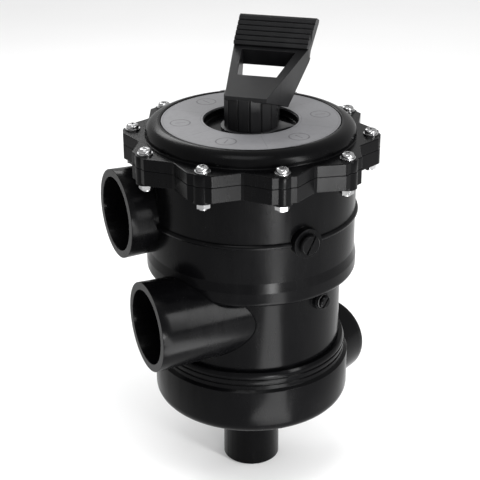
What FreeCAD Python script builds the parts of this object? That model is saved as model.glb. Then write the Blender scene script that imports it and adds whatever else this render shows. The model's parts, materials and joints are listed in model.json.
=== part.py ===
import FreeCAD, Part
import math
import os
import Sketcher
from FreeCAD import Placement, Rotation, Vector

# Six-way multiport valve for a pool filter, in millimetres. The valve axis is Z, +Z is up and
# the origin is the centre of the open end of the bottom nipple. The front faces -Y.

doc = FreeCAD.newDocument("multiport_valve")
sheet = doc.addObject("Spreadsheet::Sheet", "Sheet")

DIMENSIONS = (
    # nipple and lower drum
    ("nipple_r", 24.13), ("nipple_bore_r", 20.4), ("nipple_flange_r", 30), ("nipple_top_z", 77),
    ("nipple_shoulder_r", 24.9), ("nipple_shoulder_z", 62), ("nipple_shoulder_rise", 1.2),
    ("foot_bead", 4), ("foot_drop", 3), ("base_round_r", 11), ("base_round_z", 10),
    ("inner_slope", 4), ("collar_groove_pitch", 5), ("collar_groove_depth", 0.8),
    ("collar_groove_width", 1.5), ("edge_break", 1.5),
    ("lower_drum_r", 82), ("lower_drum_neck_r", 79), ("lower_drum_base_z", 67),
    ("lower_drum_step_z", 107), ("lower_drum_top_z", 123), ("lower_wall", 6),
    # main casing
    ("neck_r", 74), ("neck_bottom_z", 112), ("neck_top_z", 186), ("drum_r", 85),
    ("drum_floor_z", 194), ("drum_lip_r", 86.4), ("drum_lip_top_z", 206), ("bead_r", 87.3),
    ("bead_z", 237), ("bead_half", 2.2), ("wall", 6), ("flange_low_z", 278.5),
    ("flange_top_z", 290.4), ("flange_r", 91), ("lip_round", 4), ("lip_taper", 8),
    ("flange_slope", 2), ("ring_inset", 5),
    # clamped cover
    ("cover_flange_top_z", 300), ("seat_z", 309.5), ("rim_top_z", 311.4), ("rim_r", 84.3),
    ("rim_inner_r", 72), ("well_r", 37.6), ("well_z", 304), ("cavity_r", 75),
    ("cavity_top_z", 298), ("boss_r", 14), ("boss_low_z", 285), ("joint_gap", 0.1),
    ("rim_round_z", 9.4), ("rim_crown", 1), ("rim_edge", 0.6),
    # ten clamping screws
    ("screw_count", 10), ("screw_circle_r", 95), ("screw_first_deg", -130.5), ("screw_r", 3.2),
    ("screw_hole_r", 3.4), ("screw_head_r", 5), ("screw_head_height", 3.4),
    ("screw_washer_r", 6.1), ("screw_washer_thick", 1.2), ("lug_r", 8), ("lug_reach_r", 102),
    ("lug_half_deg", 5.5), ("notch_r", 90.5), ("lug_skirt", 2), ("nut_height", 4.6),
    ("nut_flats", 10), ("nut_clear", 0.05), ("screw_end_z", 270.3), ("screw_end_clear", 0.5),
    ("lug_root_depth", 8), ("lug_root_share", 0.6), ("head_round_share", 0.62),
    ("recess_length", 5), ("recess_width", 1.1), ("recess_depth", 1.6),
    # port sockets
    ("socket_bore_r", 30.18), ("socket_depth", 27), ("socket_mouth_r", 36.2),
    ("socket_root_r", 33.4), ("socket_pipe_r", 26), ("socket_fit", 0.1),
    ("upper_port_deg", -65), ("upper_port_z", 238.8), ("upper_port_offset", -26),
    ("lower_port_deg", -65), ("lower_port_z", 165), ("lower_port_offset", 34),
    ("rear_port_deg", 149), ("rear_port_z", 86.5), ("rear_port_offset", -30),
    ("side_port_reach", 107.5), ("rear_port_reach", 84), ("rear_port_root", 46),
    # flow divider and its gasket
    ("divider_floor_z", 214), ("divider_top_z", 262), ("divider_r", 79), ("divider_web", 4),
    ("divider_hub_r", 20), ("web_count", 6), ("gasket_thick", 3), ("divider_floor_thick", 4),
    ("divider_rim_tall", 6), ("weld_overlap", 1),
    # rotor, stem and spring
    ("rotor_r", 73), ("rotor_plate", 7), ("rotor_hub_r", 15), ("rotor_hub_height", 2.5),
    ("stem_r", 8), ("stem_clear", 0.06), ("tongue_width", 14), ("tongue_low_z", 297),
    ("pin_z", 318), ("pin_r", 3), ("pin_clear", 0.03), ("tongue_end_r", 7),
    ("spring_wire_r", 1.5), ("spring_r", 19), ("spring_turns", 3),
    ("spring_washer_thick", 1.5), ("spring_washer_r", 23),
    ("o_ring_wire_r", 1.75), ("ring_squeeze", 0.02), ("stem_ring_wire_r", 1.3),
    ("stem_ring_gap", 5), ("stem_ring_low", 3.5), ("stem_groove_half", 1.4),
    ("rotor_bore_clear", 0.05), ("rotor_bevel", 2), ("spring_rib_out", 10),
    ("spring_rib_thick", 1.5), ("spring_rib_tall", 2), ("rotor_port_in", 30),
    ("rotor_port_out", 66), ("rotor_port_start", 8), ("rotor_port_stop", 52),
    ("washer_hub_clear", 0.6), ("spring_end_gap", 0.1),
    # label and turning washer
    ("label_outer_r", 71.3), ("label_inner_r", 38.3), ("label_thick", 1.5),
    ("index_r", 24), ("index_thick", 2), ("index_tip_r", 36), ("index_deg", 85),
    ("index_open_deg", 60), ("index_clear", 0.4),
    # lever handle
    ("lever_turn_deg", 16), ("lever_base_z", 306.4), ("hub_r", 21), ("facet_count", 7),
    ("hub_top_z", 332), ("hub_half_width", 19), ("heel_y", 17.5), ("flute_deg", 2.2),
    ("flute_depth", 1.3), ("ramp_deg", 16.2), ("ramp_foot_y", -20), ("ramp_foot_z", 334.6),
    ("ramp_end_y", 52), ("ramp_thick", 12), ("ramp_foot_center", 1.4), ("ramp_foot_half", 17),
    ("ramp_end_center", 2.7), ("ramp_end_half", 31.3), ("grip_top_center", 7),
    ("grip_top_half", 32.1), ("blank_half", 42), ("under_low_z", 316), ("grip_lean_deg", 21),
    ("grip_tall", 24.7), ("grip_thick", 12), ("grip_overhang", 3), ("grip_step", 1.2),
    ("ridge_count", 6), ("ridge_depth", 1.1), ("slot_half_width", 7.35), ("slot_front_y", -9.5),
    ("slot_top_z", 326.6), ("window_low", 31), ("window_high", 69), ("window_low_half", 16),
    ("window_high_half", 22.5), ("window_center", 2.2), ("window_depth", 20),
    ("hub_overlap", 0.6), ("ridge_share", 0.72), ("ridge_slope", 0.5), ("grip_edge", 1.5),
    ("grip_edge_rise", 0.3), ("grip_back_in", 0.7), ("grip_back_drop", 2),
    ("grip_root_extra", 1), ("heel_slope", 3), ("flute_lip", 0.2), ("trim_past", 6),
    ("slot_past_heel", 6), ("slot_back_drop", 4), ("pin_inset", 0.5),
    # plugs on the casing
    ("gauge_deg", 28), ("gauge_z", 238), ("gauge_boss_r", 12), ("gauge_boss_reach", 91),
    ("gauge_thread_r", 5.5), ("gauge_head_r", 8.2), ("gauge_head_thick", 3),
    ("drain_deg", 46), ("drain_z", 176), ("drain_boss_r", 7.5), ("drain_boss_reach", 78),
    ("drain_thread_r", 4), ("drain_head_r", 5.5), ("drain_head_thick", 3),
    ("gauge_thread_length", 12), ("drain_thread_length", 9), ("thread_clear", 0.1),
    ("plug_boss_depth", 10), ("plug_ring_wire", 0.9), ("plug_ring_share", 0.8),
    ("plug_slot_half", 0.9), ("plug_slot_depth", 1.5), ("plug_chamfer", 1),
)


class Size:
    """A length that carries both its number and the sheet expression it comes from."""

    def __init__(self, number, text=None):
        self.n = float(number)
        self.t = text if text is not None else repr(self.n)

    def __add__(self, other):
        other = as_size(other)
        return Size(self.n + other.n, "(%s + %s)" % (self.t, other.t))

    def __sub__(self, other):
        other = as_size(other)
        return Size(self.n - other.n, "(%s - %s)" % (self.t, other.t))

    def __mul__(self, other):
        other = as_size(other)
        return Size(self.n * other.n, "(%s * %s)" % (self.t, other.t))

    def __truediv__(self, other):
        other = as_size(other)
        return Size(self.n / other.n, "(%s / %s)" % (self.t, other.t))

    def __neg__(self):
        return Size(-self.n, "(0 - %s)" % self.t)


def as_size(value):
    return value if isinstance(value, Size) else Size(value)


def sine(angle):
    return Size(math.sin(math.radians(angle.n)), "sin(%s * 1deg)" % angle.t)


def cosine(angle):
    return Size(math.cos(math.radians(angle.n)), "cos(%s * 1deg)" % angle.t)


class Sheet:
    """Reads a named size of the sheet as an attribute."""


d = Sheet()
for row, (alias, value) in enumerate(DIMENSIONS, start=1):
    sheet.set("A%d" % row, alias)
    sheet.set("B%d" % row, str(value))
    sheet.setAlias("B%d" % row, alias)
    setattr(d, alias, Size(value, "Sheet." + alias))
doc.recompute()

ZERO = Size(0)
CUT_PAST = 1    # how far a cutting shape runs past the surface it opens
ARC_STEPS = 8    # straight steps in a rounded crown or rim
DISC_STEPS = 24    # straight steps around the index washer
NODES = []


# ---------------------------------------------------------------- building helpers

def new_body(label):
    body = doc.addObject("PartDesign::Body", label)
    body.Label = label
    NODES.append(body)
    return body


def set_size(feature, prop, size):
    setattr(feature, prop, size.n)
    feature.setExpression(prop, size.t)


def new_sketch(body, role, height=None):
    """A sketch on one of the body's origin planes, raised if asked."""
    sketch = body.newObject("Sketcher::SketchObject", body.Label + "_sketch")
    plane = [f for f in body.Origin.OriginFeatures if f.Role == role][0]
    sketch.AttachmentSupport = [(plane, "")]
    sketch.MapMode = "FlatFace"
    if height is not None:
        sketch.AttachmentOffset = Placement(Vector(0, 0, height.n), Rotation())
        sketch.setExpression("AttachmentOffset.Base.z", height.t)
    return sketch


def pin_point(sketch, geo, pos, x, y):
    """Places one point of the sketch at x, y with driving constraints."""
    for axis_name, axis_id, value in (("DistanceX", -2, x), ("DistanceY", -1, y)):
        if value.n == 0 and value.t == ZERO.t:
            sketch.addConstraint(Sketcher.Constraint("PointOnObject", geo, pos, axis_id))
            continue
        index = sketch.addConstraint(Sketcher.Constraint(axis_name, -1, 1, geo, pos, value.n))
        sketch.setExpression("Constraints[%d]" % index, value.t)


def draw_outline(sketch, points):
    """A closed outline of straight lines through sized points."""
    first = sketch.GeometryCount
    count = len(points)
    points = [(as_size(x), as_size(y)) for x, y in points]
    for i, (x, y) in enumerate(points):
        x2, y2 = points[(i + 1) % count]
        sketch.addGeometry(Part.LineSegment(Vector(x.n, y.n, 0), Vector(x2.n, y2.n, 0)))
    for i in range(count):
        joint = Sketcher.Constraint("Coincident", first + i, 2, first + (i + 1) % count, 1)
        sketch.addConstraint(joint)
    for i, (x, y) in enumerate(points):
        pin_point(sketch, first + i, 1, x, y)


def draw_circle(sketch, x, y, radius):
    x, y, radius = as_size(x), as_size(y), as_size(radius)
    geo = sketch.addGeometry(Part.Circle(Vector(x.n, y.n, 0), Vector(0, 0, 1), radius.n))
    pin_point(sketch, geo, 3, x, y)
    index = sketch.addConstraint(Sketcher.Constraint("Radius", geo, radius.n))
    sketch.setExpression("Constraints[%d]" % index, radius.t)


def turn_outline(body, points, cut=False):
    """Revolves an (r, z) outline about the valve axis, as material or as a groove."""
    sketch = new_sketch(body, "XZ_Plane")
    draw_outline(sketch, points)
    kind = "PartDesign::Groove" if cut else "PartDesign::Revolution"
    feature = body.newObject(kind, body.Label + "_turning")
    feature.Profile = sketch
    feature.ReferenceAxis = (sketch, ["V_Axis"])
    feature.Angle = 360
    return feature


def turn_circle(body, r, z, wire):
    sketch = new_sketch(body, "XZ_Plane")
    draw_circle(sketch, r, z, wire)
    feature = body.newObject("PartDesign::Revolution", body.Label + "_ring")
    feature.Profile = sketch
    feature.ReferenceAxis = (sketch, ["V_Axis"])
    feature.Angle = 360
    return feature


def pad(body, sketch, length):
    feature = body.newObject("PartDesign::Pad", body.Label + "_pad")
    feature.Profile = sketch
    set_size(feature, "Length", length)
    return feature


def pocket_through(body, sketch, reverse=False):
    feature = body.newObject("PartDesign::Pocket", body.Label + "_pocket")
    feature.Profile = sketch
    feature.Type = "ThroughAll"
    feature.Reversed = reverse
    return feature


def repeat_about_axis(body, features, count):
    pattern = body.newObject("PartDesign::PolarPattern", body.Label + "_pattern")
    pattern.Originals = features
    pattern.Axis = (features[0].Profile[0], ["N_Axis"])
    pattern.Angle = 360
    pattern.Occurrences = int(count.n)
    pattern.setExpression("Occurrences", count.t)
    body.Tip = pattern
    return pattern


def primitive(body, kind, placement, **sizes):
    feature = body.newObject("PartDesign::" + kind, body.Label + "_" + kind)
    for prop, size in sizes.items():
        set_size(feature, prop, size)
    feature.Placement = placement
    return feature


def polar(radius, degrees):
    """x and y of a point at a bearing from the front (-Y), positive toward +X."""
    return radius * sine(degrees), -(radius * cosine(degrees))


def port_placement(degrees, offset, z, along=0.0):
    """Local +Z points out along the port, which runs beside the valve axis by the offset."""
    a = math.radians(degrees.n)
    out = Vector(math.sin(a), -math.cos(a), 0)
    side = Vector(math.cos(a), math.sin(a), 0)
    base = out * along + side * offset.n + Vector(0, 0, z.n)
    return Placement(base, Rotation(Vector(0, 0, 1), out))


PORTS = {
    "upper": (d.upper_port_deg, d.upper_port_offset, d.upper_port_z, d.side_port_reach, ZERO),
    "lower": (d.lower_port_deg, d.lower_port_offset, d.lower_port_z, d.side_port_reach, ZERO),
    "rear": (d.rear_port_deg, d.rear_port_offset, d.rear_port_z, d.rear_port_reach,
             d.rear_port_root),
}


def socket_cone(body, kind, port, fit):
    """The tapered outside of one socket, from its root to its mouth."""
    degrees, offset, z, reach, root = PORTS[port]
    primitive(body, kind, port_placement(degrees, offset, z, root.n - fit.n),
              Radius1=d.socket_root_r + fit, Radius2=d.socket_mouth_r + fit,
              Height=reach - root + fit)


def cut_port_seat(body, port):
    """The tapered hole in a casing wall that one socket is welded into."""
    socket_cone(body, "SubtractiveCone", port, d.socket_fit)


def rounded(center_r, center_z, half_r, half_z, start, stop, steps=6):
    """Points of a rounded shoulder on an (r, z) outline, from one angle to another."""
    angles = [Size(start + (stop - start) * i / steps) for i in range(steps + 1)]
    return [(center_r + cosine(a) * half_r, center_z + sine(a) * half_z) for a in angles]


# ---------------------------------------------------------------- bottom of the valve

def build_nipple():
    body = new_body("bottom_nipple")
    base = d.lower_drum_base_z + d.lower_wall + d.joint_gap
    turn_outline(body, [
        (d.nipple_bore_r, ZERO), (d.nipple_r, ZERO), (d.nipple_r, d.nipple_shoulder_z),
        (d.nipple_shoulder_r, d.nipple_shoulder_z + d.nipple_shoulder_rise), (d.nipple_shoulder_r, base),
        (d.nipple_flange_r, base), (d.nipple_flange_r, d.nipple_top_z),
        (d.nipple_bore_r, d.nipple_top_z)])


def build_lower_drum():
    body = new_body("lower_drum")
    inner = d.lower_drum_r - d.lower_wall
    floor = d.lower_drum_base_z + d.lower_wall
    turn_outline(body, [
        (d.nipple_shoulder_r + d.joint_gap, d.lower_drum_base_z),
        (d.nipple_flange_r + d.foot_bead, d.lower_drum_base_z - d.foot_drop),
        (d.nipple_flange_r + d.foot_bead * 2, d.lower_drum_base_z),
        *rounded(d.lower_drum_r - d.base_round_r, d.lower_drum_base_z + d.base_round_z,
                 d.base_round_r, d.base_round_z, -90, 0),
        (d.lower_drum_r, d.lower_drum_step_z),
        (d.lower_drum_neck_r, d.lower_drum_step_z + d.edge_break),
        (d.lower_drum_neck_r, d.lower_drum_top_z - d.edge_break * 2),
        (d.lower_drum_neck_r - d.edge_break, d.lower_drum_top_z),
        (d.neck_r + d.joint_gap, d.lower_drum_top_z),
        (d.neck_r + d.joint_gap, d.neck_bottom_z - d.joint_gap),
        (inner - d.inner_slope, d.neck_bottom_z - d.joint_gap),
        (inner, d.neck_bottom_z - d.lower_wall),
        (inner, floor), (d.nipple_shoulder_r + d.joint_gap, floor)])
    deep_r = d.lower_drum_neck_r - d.collar_groove_depth
    past_r = d.lower_drum_neck_r + CUT_PAST
    for turn in (1, 2):
        low = d.lower_drum_step_z + d.collar_groove_pitch * turn
        high = low + d.collar_groove_width
        turn_outline(body, [(deep_r, low), (past_r, low), (past_r, high), (deep_r, high)],
                     cut=True)
    cut_port_seat(body, "rear")


# ---------------------------------------------------------------- flanges with screw lugs

def add_lugs(body, low, high, boss_low, boss_high):
    """Ten pointed lugs, each with a round boss and a screw hole, around one flange."""
    sketch = new_sketch(body, "XY_Plane", low)
    inner = d.flange_r - d.lug_root_depth
    root_deg = Size(180) / d.screw_count * d.lug_root_share
    half_pitch = Size(180) / d.screw_count
    corners = [(d.notch_r, -half_pitch), (d.lug_reach_r, -d.lug_half_deg),
               (d.lug_reach_r, d.lug_half_deg), (d.notch_r, half_pitch),
               (inner, root_deg), (inner, -root_deg)]
    draw_outline(sketch, [polar(r, d.screw_first_deg + a) for r, a in corners])
    lug = pad(body, sketch, high - low)
    boss_sketch = new_sketch(body, "XY_Plane", boss_low)
    draw_circle(boss_sketch, *polar(d.screw_circle_r, d.screw_first_deg), d.lug_r)
    boss = pad(body, boss_sketch, boss_high - boss_low)
    repeat_about_axis(body, [lug, boss], d.screw_count)


def cut_screw_holes(body, top):
    """The ten clearance holes, cut down from above the flange."""
    sketch = new_sketch(body, "XY_Plane", top + CUT_PAST)
    draw_circle(sketch, *polar(d.screw_circle_r, d.screw_first_deg), d.screw_hole_r)
    hole = pocket_through(body, sketch)
    repeat_about_axis(body, [hole], d.screw_count)


def cover_ring_r():
    """Radius of the sealing ring between the casing flange and the cover."""
    return d.drum_r - d.wall + d.ring_inset


def build_casing():
    body = new_body("valve_body")
    inner = d.drum_r - d.wall
    neck_inner = d.neck_r - d.wall
    turn_outline(body, [
        (neck_inner, d.neck_bottom_z), (d.neck_r, d.neck_bottom_z),
        (d.neck_r, d.neck_top_z - d.edge_break), (d.neck_r + d.edge_break, d.neck_top_z),
        *rounded(d.drum_lip_r - d.lip_round, d.neck_top_z + d.lip_round,
                 d.lip_round, d.lip_round, -90, 0),
        (d.drum_lip_r, d.drum_lip_top_z - d.lip_taper), (d.drum_r, d.drum_lip_top_z),
        *rounded(d.drum_r, d.bead_z, d.bead_r - d.drum_r, d.bead_half, -90, 90),
        (d.drum_r, d.flange_low_z - d.flange_slope), (d.flange_r, d.flange_low_z),
        (d.flange_r, d.flange_top_z), (inner, d.flange_top_z),
        (inner, d.drum_floor_z), (neck_inner, d.drum_floor_z)])
    add_lugs(body, d.flange_low_z, d.flange_top_z, d.flange_low_z - d.lug_skirt, d.flange_top_z)
    cut_screw_holes(body, d.flange_top_z)
    low, high = d.flange_top_z - d.o_ring_wire_r * 2, d.flange_top_z + CUT_PAST
    near_r, far_r = cover_ring_r() - d.o_ring_wire_r, cover_ring_r() + d.o_ring_wire_r
    turn_outline(body, [(near_r, low), (far_r, low), (far_r, high), (near_r, high)], cut=True)
    for deg, z, boss_r, reach, thread_r in (
            (d.gauge_deg, d.gauge_z, d.gauge_boss_r, d.gauge_boss_reach, d.gauge_thread_r),
            (d.drain_deg, d.drain_z, d.drain_boss_r, d.drain_boss_reach, d.drain_thread_r)):
        wall_r = reach - d.plug_boss_depth
        primitive(body, "AdditiveCylinder", port_placement(deg, ZERO, z, wall_r.n),
                  Radius=boss_r, Height=reach - wall_r)
        primitive(body, "SubtractiveCylinder", port_placement(deg, ZERO, z, (wall_r - d.plug_boss_depth).n),
                  Radius=thread_r + d.thread_clear, Height=d.plug_boss_depth * 3)
    cut_port_seat(body, "upper")
    cut_port_seat(body, "lower")
    cut_port_seat(body, "rear")


def clear_screw_ends(body):
    """Shallow reliefs in a socket where the lowest cover nuts come down beside it."""
    for i in range(int(d.screw_count.n)):
        x, y = polar(d.screw_circle_r, d.screw_first_deg + Size(360) / d.screw_count * i)
        primitive(body, "SubtractiveCylinder",
                  Placement(Vector(x.n, y.n, (d.screw_end_z - d.screw_end_clear).n), Rotation()),
                  Radius=d.lug_r, Height=d.nut_height * 3)


def build_sockets():
    inner = d.drum_r - d.wall
    for port, trims in (
            ("upper", [(inner, d.flange_low_z, d.neck_top_z)]),
            ("lower", [(inner, d.flange_low_z, d.drum_floor_z),
                       (d.neck_r - d.wall, d.drum_floor_z + CUT_PAST, d.neck_bottom_z)]),
            ("rear", [])):
        degrees, offset, z, reach, root = PORTS[port]
        body = new_body("port_socket_" + port)
        socket_cone(body, "AdditiveCone", port, ZERO)
        primitive(body, "SubtractiveCylinder", port_placement(degrees, offset, z, -CUT_PAST),
                  Radius=d.socket_pipe_r, Height=reach + CUT_PAST * 2)
        primitive(body, "SubtractiveCylinder",
                  port_placement(degrees, offset, z, reach.n - d.socket_depth.n),
                  Radius=d.socket_bore_r, Height=d.socket_depth + CUT_PAST)
        for radius, high, low in trims:
            primitive(body, "SubtractiveCylinder", Placement(Vector(0, 0, low.n), Rotation()),
                      Radius=radius, Height=high - low)
        if port == "upper":
            clear_screw_ends(body)


# ---------------------------------------------------------------- inside of the casing

def add_group(label, shapes):
    """One node holding several separate solids."""
    group = doc.addObject("Part::Feature", label)
    group.Shape = Part.makeCompound(shapes)
    NODES.append(group)


def divider_hoops():
    """Inner and outer radius of the divider's hub wall and of its rim."""
    return ((d.divider_hub_r - d.divider_web, d.divider_hub_r),
            (d.divider_r - d.divider_web, d.divider_r))


def web_shape(floor_top, rim_low):
    """One upright web from the hub to the rim, notched to pass under the rim hoop."""
    near, far = d.divider_hub_r + d.joint_gap, d.divider_r - d.weld_overlap
    notch = d.divider_r - d.divider_web - d.joint_gap
    under = rim_low - d.joint_gap
    half = d.divider_web.n / 2
    outline = [Vector(x.n, -half, z.n) for x, z in (
        (near, floor_top), (far, floor_top), (far, under), (notch, under),
        (notch, d.divider_top_z), (near, d.divider_top_z))]
    return Part.Face(Part.makePolygon(outline + outline[:1])).extrude(Vector(0, half * 2, 0))


def build_divider():
    """The flow divider as simple parts: a floor with its hub, a rim hoop, and the webs."""
    (hub_in, hub_out), (rim_in, rim_out) = divider_hoops()
    floor_top = d.divider_floor_z + d.divider_floor_thick
    rim_low = d.divider_top_z - d.divider_rim_tall
    base = new_body("port_divider")
    turn_outline(base, [
        (hub_in, d.divider_floor_z), (rim_out, d.divider_floor_z), (rim_out, floor_top),
        (hub_out, floor_top), (hub_out, d.divider_top_z), (hub_in, d.divider_top_z)])
    rim = new_body("divider_rim")
    turn_outline(rim, [(rim_in, rim_low), (rim_out, rim_low), (rim_out, d.divider_top_z),
                       (rim_in, d.divider_top_z)])
    webs = []
    for i in range(int(d.web_count.n)):
        web = web_shape(floor_top, rim_low)
        web.rotate(Vector(0, 0, 0), Vector(0, 0, 1), 360 / d.web_count.n * i)
        webs.append(web)
    add_group("divider_webs", webs)


def build_gasket():
    body = new_body("spider_gasket")
    low = d.divider_top_z
    high = low + d.gasket_thick
    for near_r, far_r in divider_hoops():
        turn_outline(body, [(near_r, low), (far_r, low), (far_r, high), (near_r, high)])
    sketch = new_sketch(body, "XY_Plane", low)
    half = d.divider_web / 2
    start, stop = d.divider_hub_r - d.weld_overlap, d.divider_r - d.weld_overlap
    draw_outline(sketch, [(start, -half), (stop, -half), (stop, half), (start, half)])
    spoke = pad(body, sketch, d.gasket_thick)
    repeat_about_axis(body, [spoke], d.web_count)


def rotor_base():
    return d.divider_top_z + d.gasket_thick + d.joint_gap


def build_rotor():
    body = new_body("rotor")
    low = rotor_base()
    high = low + d.rotor_plate
    bore = d.stem_r + d.rotor_bore_clear
    rib_r, rib_z = d.rotor_hub_r + d.spring_rib_out, high + d.spring_rib_tall
    turn_outline(body, [
        (bore, low), (d.rotor_r, low), (d.rotor_r, high - d.rotor_bevel),
        (d.rotor_r - d.rotor_bevel, high), (rib_r, high), (rib_r, rib_z),
        (rib_r - d.spring_rib_thick, rib_z), (rib_r - d.spring_rib_thick, high),
        (d.rotor_hub_r, high), (d.rotor_hub_r, high + d.rotor_hub_height),
        (bore, high + d.rotor_hub_height)])
    sketch = new_sketch(body, "XY_Plane", high + CUT_PAST)
    middle = (d.rotor_port_start + d.rotor_port_stop) / 2
    draw_outline(sketch, [polar(r, a) for r, a in (
        (d.rotor_port_in, d.rotor_port_start), (d.rotor_port_out, d.rotor_port_start),
        (d.rotor_port_out, middle), (d.rotor_port_out, d.rotor_port_stop),
        (d.rotor_port_in, d.rotor_port_stop))])
    pocket_through(body, sketch)


def build_stem():
    body = new_body("selector_stem")
    low = rotor_base()
    top = d.pin_z + d.tongue_end_r
    turn_outline(body, [(ZERO, low), (d.stem_r, low), (d.stem_r, top), (ZERO, top)])
    wide, over = d.stem_r + CUT_PAST, top + CUT_PAST
    deep_r = d.stem_r - d.stem_ring_wire_r * 2 + d.stem_clear
    for z in stem_ring_heights():
        below, above = z - d.stem_groove_half, z + d.stem_groove_half
        turn_outline(body, [(deep_r, below), (wide, below), (wide, above), (deep_r, above)],
                     cut=True)
    half = d.tongue_width / 2
    flats = new_sketch(body, "XZ_Plane")
    for side in (1, -1):
        draw_outline(flats, [(half * side, d.tongue_low_z), (wide * side, d.tongue_low_z),
                             (wide * side, over), (half * side, over)])
    cut = pocket_through(body, flats)
    cut.Midplane = True
    crown = new_sketch(body, "YZ_Plane")
    step = Size(180) / ARC_STEPS
    arc = [(-(d.tongue_end_r * cosine(step * i)), d.pin_z + d.tongue_end_r * sine(step * i))
           for i in range(ARC_STEPS + 1)]
    draw_outline(crown, [(-wide, d.pin_z)] + arc + [(wide, d.pin_z), (wide, over), (-wide, over)])
    crown_cut = pocket_through(body, crown)
    crown_cut.Midplane = True
    eye = new_sketch(body, "YZ_Plane")
    draw_circle(eye, ZERO, d.pin_z, d.pin_r + d.pin_clear)
    eye_cut = pocket_through(body, eye)
    eye_cut.Midplane = True
    body.Placement = lever_turn()


def stem_ring_heights():
    lower = d.boss_low_z + d.stem_ring_low
    return (lower, lower + d.stem_ring_gap)


def build_rings():
    """Sealing rings: one under the cover, two on the stem."""
    body = new_body("cover_o_ring")
    turn_circle(body, cover_ring_r(), d.flange_top_z - d.o_ring_wire_r,
                d.o_ring_wire_r - d.ring_squeeze)
    wire = d.stem_ring_wire_r
    rings = [Part.makeTorus((d.stem_r - wire + d.stem_clear).n, wire.n, Vector(0, 0, z.n))
             for z in stem_ring_heights()]
    add_group("stem_o_rings", rings)


def build_spring():
    low = rotor_base() + d.rotor_plate + d.spring_washer_thick
    high = d.cavity_top_z - d.spring_washer_thick
    wire = d.spring_wire_r.n
    for label, z in (("spring_washer_lower", low - d.spring_washer_thick),
                     ("spring_washer_upper", high)):
        body = new_body(label)
        turn_outline(body, [
            (d.rotor_hub_r + d.washer_hub_clear, z), (d.spring_washer_r, z),
            (d.spring_washer_r, z + d.spring_washer_thick),
            (d.rotor_hub_r + d.washer_hub_clear, z + d.spring_washer_thick)])
    rise = (high - low - d.spring_end_gap * 2).n - 2 * wire
    helix = Part.makeHelix(rise / d.spring_turns.n, rise, d.spring_r.n)
    section = Part.Wire(Part.makeCircle(wire, Vector(d.spring_r.n, 0, 0), Vector(0, 1, 0)))
    coil = Part.Wire(helix.Edges).makePipeShell([section], True, True)
    spring = doc.addObject("Part::Feature", "return_spring")
    spring.Shape = coil
    spring.Placement = Placement(Vector(0, 0, (low + d.spring_end_gap).n + wire), Rotation())
    NODES.append(spring)


# ---------------------------------------------------------------- cover and its face

def build_cover():
    body = new_body("cover")
    low = d.flange_top_z + d.joint_gap
    bore = d.stem_r + d.stem_clear
    turn_outline(body, [
        (bore, d.boss_low_z), (d.boss_r, d.boss_low_z), (d.boss_r, d.cavity_top_z),
        (d.cavity_r, d.cavity_top_z), (d.cavity_r, low), (d.flange_r, low),
        (d.flange_r, d.cover_flange_top_z), (d.rim_r, d.cover_flange_top_z),
        *rounded(d.rim_inner_r + d.rim_crown, d.rim_top_z - d.rim_round_z,
                 d.rim_r - d.rim_inner_r - d.rim_crown, d.rim_round_z, 0, 90, ARC_STEPS),
        (d.rim_inner_r, d.rim_top_z - d.rim_edge), (d.rim_inner_r, d.seat_z),
        (d.well_r, d.seat_z), (d.well_r, d.well_z), (bore, d.well_z)])
    head_seat = d.cover_flange_top_z
    add_lugs(body, low, head_seat, low, head_seat)
    cut_screw_holes(body, head_seat)


def build_label():
    body = new_body("label_plate")
    turn_outline(body, [
        (d.label_inner_r, d.seat_z), (d.label_outer_r, d.seat_z),
        (d.label_outer_r, d.seat_z + d.label_thick), (d.label_inner_r, d.seat_z + d.label_thick)])


def build_index_washer():
    body = new_body("index_washer")
    sketch = new_sketch(body, "XY_Plane", d.well_z + d.joint_gap)
    spread = (Size(360) - d.index_open_deg) / DISC_STEPS
    start = d.index_deg + d.index_open_deg / 2
    arc = [polar(d.index_r, start + spread * i) for i in range(DISC_STEPS + 1)]
    tip = polar(d.index_tip_r, d.index_deg)
    draw_outline(sketch, arc + [tip])
    draw_circle(sketch, ZERO, ZERO, d.stem_r + d.index_clear)
    pad(body, sketch, d.index_thick)


# ---------------------------------------------------------------- lever handle

def ramp_height(y):
    """Height of the ramp's top face at a distance behind the valve axis."""
    slope = sine(d.ramp_deg) / cosine(d.ramp_deg)
    return d.ramp_foot_z + (y - d.ramp_foot_y) * slope


def grip_foot():
    """The (y, z) of the grip's lower front edge, which overhangs the top of the ramp."""
    return d.ramp_end_y - d.grip_overhang, ramp_height(d.ramp_end_y) + d.grip_step


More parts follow.
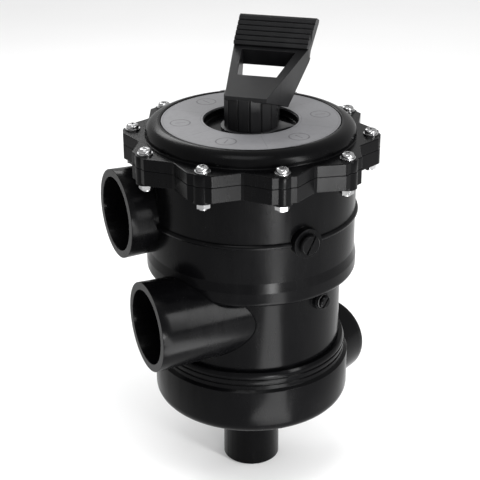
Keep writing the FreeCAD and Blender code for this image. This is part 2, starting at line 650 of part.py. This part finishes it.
def lever_side_outline():
    """Side view of the lever as (y, z): the ramp, the ridged grip, and back under to the heel."""
    lean_y, lean_z = sine(d.grip_lean_deg), cosine(d.grip_lean_deg)
    foot_y, foot_z = grip_foot()
    points = [(d.ramp_foot_y, d.hub_top_z - d.hub_overlap), (d.ramp_foot_y, d.ramp_foot_z),
              (d.ramp_end_y, ramp_height(d.ramp_end_y))]
    pitch = d.grip_tall / d.ridge_count
    for i in range(int(d.ridge_count.n)):
        low = pitch * i
        high = low + pitch * d.ridge_share
        deep_y = foot_y + d.ridge_depth * lean_z
        deep_z = foot_z - d.ridge_depth * lean_y
        points += [(foot_y + rise * lean_y, foot_z + rise * lean_z) for rise in (low, high)]
        if i < int(d.ridge_count.n) - 1:
            points += [(deep_y + rise * lean_y, deep_z + rise * lean_z)
                       for rise in (high + d.ridge_slope, low + pitch - d.ridge_slope)]
    top_y = foot_y + d.grip_tall * lean_y
    top_z = foot_z + d.grip_tall * lean_z
    for back, rise in ((d.grip_edge, d.grip_edge_rise), (d.grip_thick - d.grip_edge, ZERO)):
        points.append((top_y + back * lean_z + rise * lean_y,
                       top_z - back * lean_y + rise * lean_z))
    points.append((top_y + d.grip_thick * lean_z - d.grip_back_in,
                   top_z - d.grip_thick * lean_y - d.grip_back_drop))
    root_thick = d.grip_thick + d.grip_root_extra
    under_y = sine(d.ramp_deg) * d.ramp_thick
    under_z = cosine(d.ramp_deg) * d.ramp_thick
    points.append((foot_y + root_thick * lean_z, foot_z - root_thick * lean_y))
    points.append((d.ramp_end_y + under_y, ramp_height(d.ramp_end_y) - under_z))
    points.append((d.heel_y + d.heel_slope, d.under_low_z))
    return points


def face_sketch(body, foot_y, foot_z, tilt):
    """A sketch on a tilted face of the lever: x across the lever, y up along the face."""
    sketch = new_sketch(body, "XY_Plane")
    sketch.AttachmentOffset = Placement(Vector(0, foot_y.n, foot_z.n),
                                        Rotation(Vector(1, 0, 0), tilt.n))
    sketch.setExpression("AttachmentOffset.Base.y", foot_y.t)
    sketch.setExpression("AttachmentOffset.Base.z", foot_z.t)
    return sketch


def trim_sides(body, sketch, low, high, low_center, low_half, high_center, high_half):
    """Cuts both sides of a lever face to straight edges from its low end to its high end."""
    far = d.blank_half + d.trim_past
    past = high + d.trim_past
    for side in (1, -1):
        low_edge = low_center + low_half * side
        high_edge = high_center + high_half * side
        past_edge = high_edge + (high_edge - low_edge) * (d.trim_past / (high - low))
        draw_outline(sketch, [(far * side, -d.trim_past), (far * side, past), (past_edge, past),
                              (low_edge, low), (low_edge, -d.trim_past)])
    cut = pocket_through(body, sketch)
    cut.Midplane = True


def hub_facets():
    """The front half of the hub: flat facets with a narrow flute at each corner between them."""
    count = int(d.facet_count.n)
    step = Size(180) / d.facet_count
    corner_r = d.hub_r / cosine(step / 2)
    points = [polar(corner_r, Size(-90))]
    for i in range(1, count):
        bearing = step * i - 90
        points.append(polar(corner_r - d.flute_lip, bearing - d.flute_deg))
        points.append(polar(corner_r - d.flute_depth, bearing))
        points.append(polar(corner_r - d.flute_lip, bearing + d.flute_deg))
    return points + [polar(corner_r, Size(90))]


def build_lever():
    body = new_body("lever_handle")
    side = new_sketch(body, "YZ_Plane")
    draw_outline(side, lever_side_outline())
    blank = pad(body, side, d.blank_half * 2)
    blank.Midplane = True
    # the ramp widens from the hub to the grip, and the grip sweeps a little to the right
    ramp_length = (d.ramp_end_y - d.ramp_foot_y) / cosine(d.ramp_deg)
    trim_sides(body, face_sketch(body, d.ramp_foot_y, d.ramp_foot_z, d.ramp_deg),
               ZERO, ramp_length, d.ramp_foot_center, d.ramp_foot_half,
               d.ramp_end_center, d.ramp_end_half)
    trim_sides(body, face_sketch(body, *grip_foot(), Size(90) - d.grip_lean_deg),
               ZERO, d.grip_tall, d.ramp_end_center, d.ramp_end_half,
               d.grip_top_center, d.grip_top_half)
    hub = new_sketch(body, "XY_Plane", d.lever_base_z)
    draw_outline(hub, hub_facets() + [(d.hub_half_width, d.heel_y), (-d.hub_half_width, d.heel_y)])
    pad(body, hub, d.hub_top_z - d.lever_base_z)
    window = face_sketch(body, d.ramp_foot_y, d.ramp_foot_z, d.ramp_deg)
    draw_outline(window, [
        (d.window_center - d.window_low_half, d.window_low),
        (d.window_center + d.window_low_half, d.window_low),
        (d.window_center + d.window_high_half, d.window_high),
        (d.window_center - d.window_high_half, d.window_high)])
    window_cut = body.newObject("PartDesign::Pocket", "lever_window")
    window_cut.Profile = window
    set_size(window_cut, "Length", d.window_depth)
    # slot for the stem tongue, open at the back
    slot = new_sketch(body, "YZ_Plane")
    slot_back = d.heel_y + d.slot_past_heel
    draw_outline(slot, [
        (d.slot_front_y, d.lever_base_z - CUT_PAST), (slot_back, d.lever_base_z - CUT_PAST),
        (slot_back, d.slot_top_z - d.slot_back_drop), (-d.slot_front_y, d.slot_top_z),
        (d.slot_front_y, d.slot_top_z)])
    cut = body.newObject("PartDesign::Pocket", "lever_slot")
    cut.Profile = slot
    cut.Midplane = True
    set_size(cut, "Length", d.slot_half_width * 2)
    eye = new_sketch(body, "YZ_Plane")
    draw_circle(eye, ZERO, d.pin_z, d.pin_r)
    eye_cut = pocket_through(body, eye)
    eye_cut.Midplane = True
    body.Placement = lever_turn()


def lever_turn():
    """The lever points back and to the right of the valve, turned about the valve axis."""
    return Placement(Vector(0, 0, 0), Rotation(Vector(0, 0, 1), -d.lever_turn_deg.n))


def build_pin():
    body = new_body("handle_pin")
    sketch = new_sketch(body, "YZ_Plane")
    draw_circle(sketch, ZERO, d.pin_z, d.pin_r)
    rod = pad(body, sketch, (d.hub_r - d.pin_inset) * 2)
    rod.Midplane = True
    body.Placement = lever_turn()


# ---------------------------------------------------------------- fasteners and plugs

def hexagon(flats, height, z):
    sides = 6
    corner_r = flats / math.sqrt(3)
    bearings = [2 * math.pi * i / sides for i in range(sides + 1)]
    points = [Vector(corner_r * math.cos(a), corner_r * math.sin(a), z) for a in bearings]
    return Part.Face(Part.makePolygon(points)).extrude(Vector(0, 0, height))


def screw_shape():
    """A pan-head machine screw standing on the washer, with a cross recess."""
    seat = d.cover_flange_top_z.n + d.screw_washer_thick.n
    top = seat + d.screw_head_height.n
    shank = Part.makeCylinder(d.screw_r.n, seat - d.screw_end_z.n + d.weld_overlap.n,
                              Vector(0, 0, d.screw_end_z.n))
    head = Part.makeCylinder(d.screw_head_r.n, d.screw_head_height.n, Vector(0, 0, seat))
    rim = max((e for e in head.Edges if len(e.Vertexes) == 1), key=lambda e: e.CenterOfMass.z)
    head = head.makeFillet(d.screw_head_height.n * d.head_round_share.n, [rim])
    long, wide, deep = d.recess_length.n, d.recess_width.n, d.recess_depth.n
    recess = Part.makeBox(long, wide, deep + CUT_PAST, Vector(-long / 2, -wide / 2, top - deep))
    across = recess.copy()
    across.rotate(Vector(0, 0, 0), Vector(0, 0, 1), 90)
    return head.fuse(shank).cut(recess).cut(across).removeSplitter()


def washer_shape():
    z = d.cover_flange_top_z.n
    thick = d.screw_washer_thick.n
    disc = Part.makeCylinder(d.screw_washer_r.n, thick, Vector(0, 0, z))
    return disc.cut(Part.makeCylinder(d.screw_hole_r.n, thick, Vector(0, 0, z)))


def nut_shape():
    z = d.flange_low_z.n - d.lug_skirt.n - d.nut_height.n
    body = hexagon(d.nut_flats.n, d.nut_height.n, z)
    return body.cut(Part.makeCylinder((d.screw_r + d.nut_clear).n, d.nut_height.n, Vector(0, 0, z)))


def place_around(label, shape):
    """One node holding a separate copy of the shape at every screw lug."""
    copies = []
    for i in range(int(d.screw_count.n)):
        bearing = d.screw_first_deg.n + 360.0 / d.screw_count.n * i
        x, y = polar(d.screw_circle_r, Size(bearing))
        copy = shape.copy()
        copy.rotate(Vector(0, 0, 0), Vector(0, 0, 1), bearing)
        copy.translate(Vector(x.n, y.n, 0))
        copies.append(copy)
    add_group(label, copies)


def build_plug(label, degrees, z, reach, thread_r, head_r, head_thick, depth, ring_label):
    """A screwed plug with a slotted round head, and its sealing ring."""
    seat = reach + d.plug_ring_wire * d.plug_ring_share * 2
    face = seat + head_thick
    body = new_body(label)
    sketch = new_sketch(body, "XZ_Plane")
    draw_outline(sketch, [
        (ZERO, seat - depth), (thread_r, seat - depth), (thread_r, seat), (head_r, seat),
        (head_r, face - d.plug_chamfer), (head_r - d.plug_chamfer, face), (ZERO, face)])
    feature = body.newObject("PartDesign::Revolution", label + "_turning")
    feature.Profile = sketch
    feature.ReferenceAxis = (sketch, ["V_Axis"])
    feature.Angle = 360
    slot = new_sketch(body, "XZ_Plane")
    half, low, high = d.plug_slot_half, face - d.plug_slot_depth, face + CUT_PAST
    draw_outline(slot, [(-half, low), (half, low), (half, high), (-half, high)])
    slot_cut = pocket_through(body, slot)
    slot_cut.Midplane = True
    body.Placement = port_placement(degrees, ZERO, z)
    ring = new_body(ring_label)
    turn_circle(ring, thread_r + d.plug_ring_wire + d.thread_clear,
                (reach + seat) / 2, d.plug_ring_wire * d.plug_ring_share)
    ring.Placement = port_placement(degrees, ZERO, z)


def build_all():
    build_nipple()
    build_lower_drum()
    build_casing()
    build_sockets()
    build_divider()
    build_gasket()
    build_rotor()
    build_stem()
    build_rings()
    build_spring()
    build_cover()
    build_label()
    build_index_washer()
    build_lever()
    build_pin()
    place_around("cover_screws", screw_shape())
    place_around("screw_washers", washer_shape())
    place_around("cover_nuts", nut_shape())
    build_plug("gauge_plug", d.gauge_deg, d.gauge_z, d.gauge_boss_reach, d.gauge_thread_r,
               d.gauge_head_r, d.gauge_head_thick, d.gauge_thread_length,
               "gauge_plug_ring")
    build_plug("drain_plug", d.drain_deg, d.drain_z, d.drain_boss_reach, d.drain_thread_r,
               d.drain_head_r, d.drain_head_thick, d.drain_thread_length,
               "drain_plug_ring")


build_all()
doc.recompute()

os.makedirs("parts", exist_ok=True)
for item in doc.Objects:
    if "Invalid" in item.State or "Error" in item.State:
        print("STATE", item.Label, item.State)
for node in NODES:
    shape = node.Shape
    if shape.isNull() or not shape.isValid():
        raise RuntimeError("bad shape: " + node.Label)
    shape.exportStep("parts/%s.step" % node.Label)
    print(node.Label, len(shape.Solids), "volume %.0f" % shape.Volume)
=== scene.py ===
import json
import math

import bpy
from mathutils import Matrix, Vector

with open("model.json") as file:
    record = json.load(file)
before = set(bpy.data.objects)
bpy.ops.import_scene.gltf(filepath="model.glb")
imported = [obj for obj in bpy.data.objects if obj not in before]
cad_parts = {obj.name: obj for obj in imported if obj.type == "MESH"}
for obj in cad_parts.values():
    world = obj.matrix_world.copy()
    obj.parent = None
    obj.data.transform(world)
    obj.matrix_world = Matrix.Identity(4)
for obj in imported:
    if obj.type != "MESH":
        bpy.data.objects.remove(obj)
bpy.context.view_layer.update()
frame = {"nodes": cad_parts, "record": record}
NODES = frame["nodes"]
SCENE = bpy.context.scene

# label print, in metres and degrees about the valve axis
FIELD_DEG = 60
FIRST_FIELD_DEG = -80
MARK_CENTER_R = 0.0565
MARK_RING_R = 0.0078
MARK_RING_LINE = 0.00055
MARK_BAR_LINE = 0.0005
MARK_BAR_HALF = 0.0042
FINE_LINE = 0.0003
PRINT_MIDDLE_R = 0.055
PRINT_HALF = 0.0135
BORDER_RADII = (0.0699, 0.0401)
DIVIDER_INK = 0.45
BORDER_INK = 0.5

# softboxes: name, place, aim, width, height, radiance
MIDDLE = (0, 0, 0.2)
HUB = (0, 0, 0.32)
LIGHTS = (
    ("strip", (1.0, -0.85, 0.75), MIDDLE, 0.26, 1.1, 22.0),
    ("top", (-0.15, -0.45, 1.5), MIDDLE, 0.6, 0.6, 6.0),
    ("back", (-0.35, 0.95, 0.95), MIDDLE, 0.5, 0.3, 9.0),
    ("floor_strip", (0.27, -0.55, 0.004), (0.27, -0.55, 1), 0.12, 0.9, 14.0),
    ("card", (0.325, -0.89, 0.03), HUB, 0.16, 0.2, 90.0),
)
FLOOR_STRIP_TURN_DEG = (180, 0, 30)
STUDIO_STRENGTH = 0.85
FLOOR_SIZE = 8.0
FLOOR_DROP = 0.0005

CAMERA_PLACE = (-0.00913, -0.9452, 0.6339)
CAMERA_PITCH_DEG = 24.40
CAMERA_ROLL_DEG = -0.31
SENSOR_WIDTH = 36.0
LENS = 94.0


# ---------------------------------------------------------------- node helpers

class Shader:
    """Builds one node material with short calls."""

    def __init__(self, name):
        self.material = bpy.data.materials.new(name)
        self.material.use_nodes = True
        self.tree = self.material.node_tree
        self.bsdf = self.tree.nodes["Principled BSDF"]
        self.coords = self.node("ShaderNodeTexCoord").outputs["Object"]

    def node(self, kind, inputs=None, **settings):
        made = self.tree.nodes.new(kind)
        for key, value in settings.items():
            setattr(made, key, value)
        for key, value in (inputs or {}).items():
            self.plug(value, made.inputs[key])
        return made

    def plug(self, value, socket):
        if isinstance(value, bpy.types.NodeSocket):
            self.tree.links.new(value, socket)
        else:
            socket.default_value = value

    def set(self, **inputs):
        for key, value in inputs.items():
            self.plug(value, self.bsdf.inputs[key.replace("_", " ")])

    def noise(self, scale, detail=3.0, roughness=0.55, stretch=(1, 1, 1), distortion=0.0):
        mapped = self.node("ShaderNodeMapping", {"Vector": self.coords, "Scale": stretch})
        made = self.node("ShaderNodeTexNoise", {
            "Vector": mapped.outputs["Vector"], "Scale": scale, "Detail": detail,
            "Roughness": roughness, "Distortion": distortion})
        return made.outputs["Fac"]

    def ramp(self, value, low, high, start=0.3, end=0.7):
        """Maps value from start..end to low..high."""
        made = self.node("ShaderNodeMapRange", {
            "Value": value, "From Min": start, "From Max": end, "To Min": low, "To Max": high})
        return made.outputs["Result"]

    def math(self, operation, a, b=0.0, c=0.0):
        made = self.node("ShaderNodeMath", operation=operation)
        for socket, value in zip(made.inputs, (a, b, c)):
            self.plug(value, socket)
        return made.outputs[0]

    def mix(self, factor, a, b):
        made = self.node("ShaderNodeMix", data_type="RGBA")
        self.plug(factor, made.inputs[0])
        self.plug(a, made.inputs[6])
        self.plug(b, made.inputs[7])
        return made.outputs[2]

    def bump(self, height, strength, distance, normal=None):
        made = self.node("ShaderNodeBump", {
            "Height": height, "Strength": strength, "Distance": distance})
        if normal is not None:
            self.plug(normal, made.inputs["Normal"])
        return made.outputs["Normal"]

    def rounded_normal(self, radius):
        """A normal that runs softly over sharp edges."""
        return self.node("ShaderNodeBevel", {"Radius": radius}, samples=6).outputs["Normal"]

    def near(self, value, center, half):
        """1 where value lies within half of center."""
        return self.math("COMPARE", value, center, half)


def rgb(r, g, b):
    return (r, g, b, 1.0)


# ---------------------------------------------------------------- materials

def moulded_plastic(name, color, worn, rough, sheen_level, grain):
    """Black moulded plastic: uneven gloss, fine skin, flow ripples, dust and handling marks."""
    s = Shader(name)
    cloud = s.noise(14.0, 4.0)
    speck = s.noise(900.0, 2.0)
    scuff = s.noise(75.0, 6.0, 0.7, (1, 1, 0.22), 0.4)
    hairline = s.noise(260.0, 4.0, 0.75, (1, 1, 0.06), 1.2)
    worn_patch = s.ramp(s.math("MULTIPLY", cloud, scuff), 0.0, 1.0, 0.2, 0.42)
    dust = s.ramp(s.noise(3.2, 5.0, 0.7), 0.0, 0.12, 0.5, 0.8)
    tone = s.mix(worn_patch, rgb(*color), rgb(*worn))
    s.set(Base_Color=s.mix(s.math("MULTIPLY", dust, speck), tone, rgb(0.02, 0.0195, 0.019)))
    low, high = rough
    gloss = s.math("ADD", s.ramp(cloud, low, high), s.ramp(hairline, 0.0, 0.09, 0.55, 0.75))
    s.set(Roughness=s.math("ADD", gloss, s.math("MULTIPLY", worn_patch, 0.06)))
    s.set(Specular_IOR_Level=sheen_level)
    edge = s.rounded_normal(0.0007)
    ripple = s.bump(s.noise(30.0, 2.0), 0.16, 0.0008, edge)
    s.set(Normal=s.bump(speck, grain, 0.00015, s.bump(hairline, 0.05, 0.0001, ripple)))
    return s.material


def label_marks(s):
    """Printed line work: edge lines, six field dividers and a ring mark in each field."""
    split = s.node("ShaderNodeSeparateXYZ", {"Vector": s.coords})
    x, y = split.outputs["X"], split.outputs["Y"]
    radius = s.math("SQRT", s.math("ADD", s.math("MULTIPLY", x, x), s.math("MULTIPLY", y, y)))
    bearing = s.math("ARCTAN2", x, s.math("MULTIPLY", y, -1.0))
    field = math.radians(FIELD_DEG)
    turns = s.math("DIVIDE", s.math("SUBTRACT", bearing, math.radians(FIRST_FIELD_DEG)), field)
    part = s.math("MULTIPLY", s.math("SUBTRACT", turns, s.math("ROUND", turns)), field)
    along = s.math("SUBTRACT", s.math("MULTIPLY", radius, s.math("COSINE", part)), MARK_CENTER_R)
    across = s.math("MULTIPLY", radius, s.math("SINE", part))
    away = s.math("SQRT", s.math("ADD", s.math("MULTIPLY", along, along),
                                 s.math("MULTIPLY", across, across)))
    ring = s.near(away, MARK_RING_R, MARK_RING_LINE)
    bar = s.math("MULTIPLY", s.near(across, 0.0, MARK_BAR_LINE),
                 s.near(along, 0.0, MARK_BAR_HALF))
    to_edge = s.math("SUBTRACT", s.math("ABSOLUTE", part), field / 2)
    divider = s.near(s.math("MULTIPLY", radius, s.math("SINE", to_edge)), 0.0, FINE_LINE)
    inside = s.near(radius, PRINT_MIDDLE_R, PRINT_HALF)
    lines = s.math("MAXIMUM", ring, bar)
    faint = s.math("MULTIPLY", s.math("MULTIPLY", divider, inside), DIVIDER_INK)
    border = s.math("MAXIMUM", *[s.near(radius, edge, FINE_LINE) for edge in BORDER_RADII])
    return s.math("MAXIMUM", lines, s.math("MAXIMUM", faint, s.math("MULTIPLY", border, BORDER_INK)))


def label_film():
    """Grey satin printed film with a fine tooth, faded ink and rubbed patches."""
    s = Shader("label_film")
    cloud = s.noise(30.0, 5.0, 0.6)
    wear = s.noise(180.0, 5.0, 0.7)
    grain = s.noise(1400.0, 2.0)
    paper = s.mix(s.ramp(cloud, 0.0, 1.0), rgb(0.125, 0.125, 0.132), rgb(0.165, 0.165, 0.172))
    paper = s.mix(s.ramp(wear, 0.0, 0.4, 0.45, 0.75), paper, rgb(0.1, 0.1, 0.104))
    ink = s.math("MULTIPLY", label_marks(s), s.ramp(wear, 0.35, 0.85, 0.3, 0.65))
    s.set(Base_Color=s.mix(ink, paper, rgb(0.02, 0.02, 0.022)))
    s.set(Roughness=s.ramp(cloud, 0.42, 0.58), Specular_IOR_Level=0.3)
    s.set(Normal=s.bump(grain, 0.14, 0.0001, s.bump(cloud, 0.06, 0.0004)))
    return s.material


def bright_steel():
    """Turned stainless: bright, with drawn lines and small dull spots."""
    s = Shader("steel")
    drawn = s.noise(900.0, 3.0, 0.6, (1, 1, 0.1))
    cloud = s.noise(160.0, 4.0)
    s.set(Base_Color=s.mix(cloud, rgb(0.2, 0.2, 0.205), rgb(0.42, 0.42, 0.42)), Metallic=1.0)
    s.set(Roughness=s.math("ADD", s.ramp(drawn, 0.16, 0.28), s.ramp(cloud, 0.0, 0.12, 0.5, 0.8)))
    s.set(Normal=s.bump(drawn, 0.15, 0.0001, s.rounded_normal(0.0003)))
    return s.material


def seal_rubber():
    s = Shader("seal_rubber")
    cloud = s.noise(120.0, 4.0)
    s.set(Base_Color=s.mix(cloud, rgb(0.012, 0.012, 0.012), rgb(0.03, 0.03, 0.03)))
    s.set(Roughness=s.ramp(cloud, 0.6, 0.8))
    s.set(Normal=s.bump(s.noise(700.0), 0.2, 0.0002))
    return s.material


MATERIALS = {
    "black_plastic": moulded_plastic("black_plastic", (0.0012, 0.0012, 0.0014),
                                     (0.0022, 0.0022, 0.0024), (0.16, 0.25), 0.05, 0.04),
    "handle_plastic": moulded_plastic("handle_plastic", (0.005, 0.005, 0.0055),
                                      (0.009, 0.009, 0.0095), (0.32, 0.44), 0.16, 0.1),
    "inner_plastic": moulded_plastic("inner_plastic", (0.008, 0.008, 0.009),
                                     (0.016, 0.016, 0.017), (0.3, 0.45), 0.4, 0.1),
    "label_film": label_film(),
    "steel": bright_steel(),
    "seal_rubber": seal_rubber(),
}


EDGE_WIDTH = {"black_plastic": 0.0006, "handle_plastic": 0.0009}
EDGE_SEGMENTS = 3
EDGE_ANGLE_DEG = 38
CORNER_JOIN = 0.00001
SHADED_EDGES_ONLY = ("valve_body",)


def round_edges(node, width):
    """Joins the mesh's corners and rolls over its sharp edges."""
    join = node.modifiers.new("join", "WELD")
    join.merge_threshold = CORNER_JOIN
    roll = node.modifiers.new("edges", "BEVEL")
    roll.width = width
    roll.segments = EDGE_SEGMENTS
    roll.limit_method = "ANGLE"
    roll.angle_limit = math.radians(EDGE_ANGLE_DEG)
    roll.harden_normals = True


def dress_cad_nodes():
    """Gives every CAD node its material, and most plastic ones a small rounded edge."""
    for part in frame["record"]["subparts"]:
        node, slot = NODES[part["node"]], part["material_slot"]
        node.data.materials.clear()
        node.data.materials.append(MATERIALS[slot])
        if slot in EDGE_WIDTH and part["node"] not in SHADED_EDGES_ONLY:
            round_edges(node, EDGE_WIDTH[slot])


# ---------------------------------------------------------------- stage, light and camera

def build_stage():
    bpy.ops.mesh.primitive_plane_add(size=FLOOR_SIZE, location=(0, 0, -FLOOR_DROP))
    floor = bpy.context.object
    floor.name = "floor"
    s = Shader("floor")
    tone = s.noise(3.0, 2.0)
    s.set(Base_Color=s.mix(tone, rgb(0.88, 0.88, 0.88), rgb(0.92, 0.92, 0.92)), Roughness=0.8)
    floor.data.materials.append(s.material)

    world = bpy.data.worlds.new("studio")
    world.use_nodes = True
    background = world.node_tree.nodes["Background"]
    background.inputs["Color"].default_value = rgb(1, 1, 1)
    background.inputs["Strength"].default_value = STUDIO_STRENGTH
    SCENE.world = world


def area_light(name, place, aim, width, height, radiance):
    """A rectangular softbox of an even brightness, facing its aim and out of the camera's sight."""
    data = bpy.data.lights.new(name, "AREA")
    data.shape = "RECTANGLE"
    data.size = width
    data.size_y = height
    data.energy = radiance * math.pi * width * height
    light = bpy.data.objects.new(name, data)
    SCENE.collection.objects.link(light)
    light.location = place
    light.rotation_euler = (Vector(aim) - Vector(place)).to_track_quat("-Z", "Y").to_euler()
    light.visible_camera = False
    return light


def build_lights():
    made = {light[0]: area_light(*light) for light in LIGHTS}
    turn = [math.radians(angle) for angle in FLOOR_STRIP_TURN_DEG]
    made["floor_strip"].rotation_euler = turn


def build_camera():
    """In front of the valve, looking down at it."""
    data = bpy.data.cameras.new("camera")
    data.sensor_width = SENSOR_WIDTH
    data.lens = LENS
    camera = bpy.data.objects.new("camera", data)
    SCENE.collection.objects.link(camera)
    pitch, roll = math.radians(CAMERA_PITCH_DEG), math.radians(CAMERA_ROLL_DEG)
    look = Matrix.Rotation(math.radians(90) - pitch, 4, "X") @ Matrix.Rotation(roll, 4, "Z")
    camera.matrix_world = Matrix.Translation(CAMERA_PLACE) @ look
    SCENE.camera = camera


dress_cad_nodes()
build_stage()
build_lights()
build_camera()
SCENE.view_settings.view_transform = "Standard"
